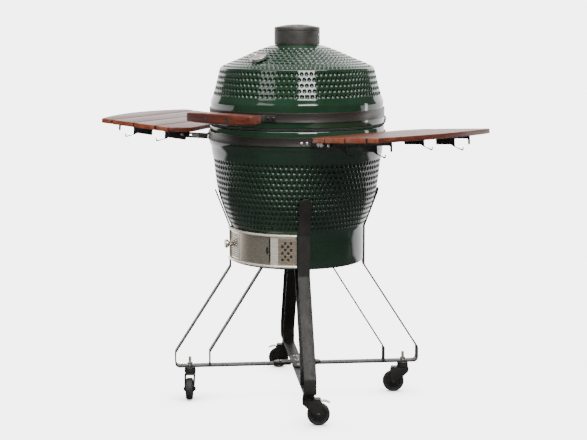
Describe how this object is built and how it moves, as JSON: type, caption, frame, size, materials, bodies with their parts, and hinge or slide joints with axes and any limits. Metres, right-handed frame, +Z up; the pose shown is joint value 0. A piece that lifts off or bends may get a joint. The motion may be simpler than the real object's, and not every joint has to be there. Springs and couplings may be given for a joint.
{
  "type": "kamado charcoal grill",
  "caption": "Ceramic kamado charcoal grill with a hinged dimpled lid, draft door, fold-down slatted side shelves and a wheeled cart.",
  "frame": {"origin": "on the ground, below the middle of the object's bounding box; the bowl's axis stands 31 mm behind it", "axes": "+Z up, the front with the handle and draft door faces -Y, +X to the right seen from the front and along the two side shelves"},
  "size_m": [1.3696, 0.758, 1.282],
  "materials": {
    "green_glaze": "deep green, high-gloss glaze over a dimpled surface",
    "fire_clay": "unglazed refractory",
    "black_steel": "satin black powder coat",
    "cast_iron": "matt dark grey casting",
    "stainless": "brushed stainless steel",
    "zinc_steel": "zinc-plated steel",
    "dial_steel": "polished rim round a pale dial",
    "gasket_felt": "black felt",
    "wheel_rubber": "black moulded tread",
    "red_wood": "oiled reddish hardwood"
  },
  "bodies": {
    "base": {"ceramic_base": "green_glaze", "base_band": "black_steel", "base_gasket": "gasket_felt", "fire_box": "fire_clay", "fire_ring": "fire_clay", "charcoal_grate": "cast_iron", "cooking_grate": "stainless", "draft_frame": "stainless", "hinge_lower_bracket": "black_steel", "hinge_pin": "zinc_steel", "hinge_spring": "zinc_steel", "inner_strap_upper": "black_steel", "inner_strap_lower": "black_steel", "cross_joiner": "black_steel", "leg_strap_front_right": "black_steel", "leg_strap_back_right": "black_steel", "leg_strap_back_left": "black_steel", "leg_strap_front_left": "black_steel", "caster_stem_front_right": "zinc_steel", "caster_stem_back_right": "zinc_steel", "caster_stem_back_left": "zinc_steel", "caster_stem_front_left": "zinc_steel", "shelf_bracket_right_front": "black_steel", "shelf_bracket_right_back": "black_steel", "shelf_bracket_left_front": "black_steel", "shelf_bracket_left_back": "black_steel"},
    "lid": {"ceramic_lid": "green_glaze", "lid_band": "black_steel", "lid_gasket": "gasket_felt", "vent_collar": "cast_iron", "thermometer": "dial_steel", "handle_bar": "red_wood", "handle_bracket_left": "black_steel", "handle_bracket_right": "black_steel", "hinge_upper_bracket": "black_steel"},
    "vent_dial": {"vent_dial": "cast_iron"},
    "draft_door": {"draft_door": "stainless"},
    "spark_screen": {"spark_screen": "stainless"},
    "shelf_right": {"shelf_slat_right_inner": "red_wood", "shelf_slat_right_second": "red_wood", "shelf_slat_right_third": "red_wood", "shelf_slat_right_outer": "red_wood", "shelf_crossbar_right_front": "black_steel", "shelf_crossbar_right_back": "black_steel"},
    "shelf_left": {"shelf_slat_left_inner": "red_wood", "shelf_slat_left_second": "red_wood", "shelf_slat_left_third": "red_wood", "shelf_slat_left_outer": "red_wood", "shelf_crossbar_left_front": "black_steel", "shelf_crossbar_left_back": "black_steel"},
    "caster_fork_front_right": {"caster_fork_front_right": "black_steel"},
    "caster_wheel_front_right": {"caster_wheel_front_right": "wheel_rubber"},
    "brake_lever_front_right": {"brake_lever_front_right": "zinc_steel"},
    "caster_fork_back_right": {"caster_fork_back_right": "black_steel"},
    "caster_wheel_back_right": {"caster_wheel_back_right": "wheel_rubber"},
    "caster_fork_back_left": {"caster_fork_back_left": "black_steel"},
    "caster_wheel_back_left": {"caster_wheel_back_left": "wheel_rubber"},
    "brake_lever_back_left": {"brake_lever_back_left": "zinc_steel"},
    "caster_fork_front_left": {"caster_fork_front_left": "black_steel"},
    "caster_wheel_front_left": {"caster_wheel_front_left": "wheel_rubber"}
  },
  "joints": [
    {"name": "lid_hinge", "type": "hinge", "parent": "base", "child": "lid", "pos_m": [0, 0.366, 0.948], "axis": [-1, 0, 0], "range_deg": [0, 75]},
    {"name": "vent_turn", "type": "hinge", "parent": "lid", "child": "vent_dial", "pos_m": [0, 0.031, 1.27], "axis": [0, 0, 1], "range_deg": [0, 36]},
    {"name": "draft_door_slide", "type": "hinge", "parent": "base", "child": "draft_door", "pos_m": [0, 0.031, 0.545], "axis": [0, 0, 1], "range_deg": [0, 20]},
    {"name": "spark_screen_slide", "type": "hinge", "parent": "base", "child": "spark_screen", "pos_m": [0, 0.031, 0.545], "axis": [0, 0, 1], "range_deg": [0, 13]},
    {"name": "shelf_right_fold", "type": "hinge", "parent": "base", "child": "shelf_right", "pos_m": [0.34569, -0.02375, 0.909], "axis": [0.1564, 0.9877, 0], "range_deg": [0, 86]},
    {"name": "shelf_left_fold", "type": "hinge", "parent": "base", "child": "shelf_left", "pos_m": [-0.34569, -0.02375, 0.909], "axis": [0.1564, -0.9877, 0], "range_deg": [0, 86]},
    {"name": "swivel_front_right", "type": "hinge", "parent": "base", "child": "caster_fork_front_right", "pos_m": [0.26354, -0.23254, 0.0948], "axis": [0, 0, 1], "continuous": true},
    {"name": "roll_front_right", "type": "hinge", "parent": "caster_fork_front_right", "child": "caster_wheel_front_right", "pos_m": [0.28841, -0.2124, 0.0375], "axis": [-0.6293, 0.7771, 0], "continuous": true},
    {"name": "brake_front_right", "type": "hinge", "parent": "caster_fork_front_right", "child": "brake_lever_front_right", "pos_m": [0.2752, -0.2231, 0.0805], "axis": [-0.6293, 0.7771, 0], "range_deg": [0, 10]},
    {"name": "swivel_back_right", "type": "hinge", "parent": "base", "child": "caster_fork_back_right", "pos_m": [0.26354, 0.29454, 0.0948], "axis": [0, 0, 1], "continuous": true},
    {"name": "roll_back_right", "type": "hinge", "parent": "caster_fork_back_right", "child": "caster_wheel_back_right", "pos_m": [0.23867, 0.2744, 0.0375], "axis": [0.6293, -0.7771, 0], "continuous": true},
    {"name": "swivel_back_left", "type": "hinge", "parent": "base", "child": "caster_fork_back_left", "pos_m": [-0.26354, 0.29454, 0.0948], "axis": [0, 0, 1], "continuous": true},
    {"name": "roll_back_left", "type": "hinge", "parent": "caster_fork_back_left", "child": "caster_wheel_back_left", "pos_m": [-0.28841, 0.2744, 0.0375], "axis": [0.6293, -0.7771, 0], "continuous": true},
    {"name": "brake_back_left", "type": "hinge", "parent": "caster_fork_back_left", "child": "brake_lever_back_left", "pos_m": [-0.2752, 0.2851, 0.0805], "axis": [0.6293, -0.7771, 0], "range_deg": [0, 10]},
    {"name": "swivel_front_left", "type": "hinge", "parent": "base", "child": "caster_fork_front_left", "pos_m": [-0.26354, -0.23254, 0.0948], "axis": [0, 0, 1], "continuous": true},
    {"name": "roll_front_left", "type": "hinge", "parent": "caster_fork_front_left", "child": "caster_wheel_front_left", "pos_m": [-0.2434, -0.25741, 0.0375], "axis": [0.7771, 0.6293, 0], "continuous": true}
  ]
}
